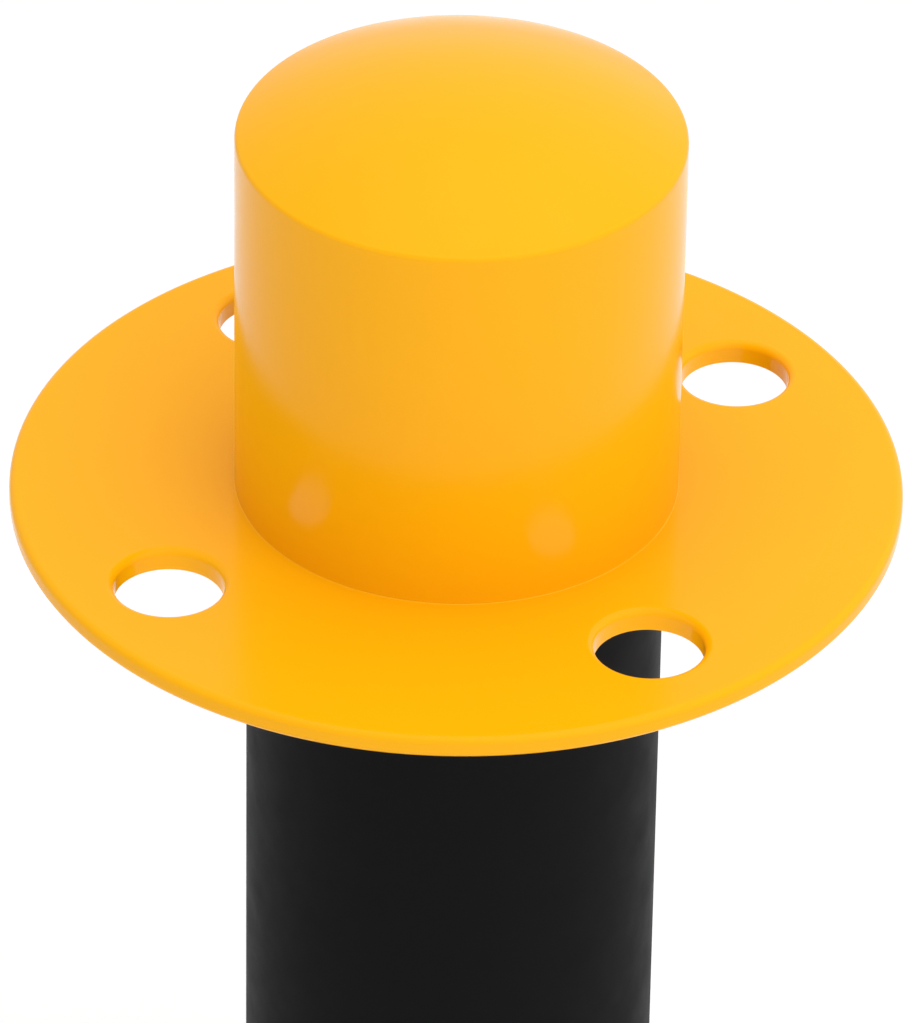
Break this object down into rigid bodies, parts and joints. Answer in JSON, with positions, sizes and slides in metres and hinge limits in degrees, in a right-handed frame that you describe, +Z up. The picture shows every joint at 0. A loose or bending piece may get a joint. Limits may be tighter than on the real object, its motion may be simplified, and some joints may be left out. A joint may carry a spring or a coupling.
{
  "type": "in-ground steel safety bollard",
  "caption": "Low domed steel bollard head on a round bolt-down flange, lifting off a tube set in the ground on a square foot plate.",
  "frame": {"origin": "centre of the flange's underside, on the bollard's axis, which is the finished ground level", "axes": "+Z up along the bollard's axis; the flange's bolt holes lie at 45 degrees to +X and +Y; the anchor bars lie along X and Y"},
  "size_m": [0.23, 0.23, 0.525],
  "materials": {
    "yellow_powder_coat": "gloss",
    "black_coating": "satin",
    "buffer_rubber": "matt",
    "plug_plastic": "satin"
  },
  "bodies": {
    "ground_post": {"ground_tube": "black_coating", "tube_plug": "plug_plastic", "foot_plate": "black_coating", "foot_weld": "black_coating", "upper_anchor_bar": "black_coating", "lower_anchor_bar": "black_coating", "anchor_bar_welds": "black_coating"},
    "head": {"head_tube": "yellow_powder_coat", "dome_cap": "yellow_powder_coat", "cap_weld": "yellow_powder_coat", "ground_flange": "yellow_powder_coat", "flange_top_weld": "yellow_powder_coat", "flange_underside_weld": "yellow_powder_coat", "buffer_pad": "buffer_rubber"}
  },
  "joints": [
    {"name": "head_lift", "type": "slide", "parent": "ground_post", "child": "head", "axis": [0, 0, 1], "range_m": [0, 0.13]}
  ]
}
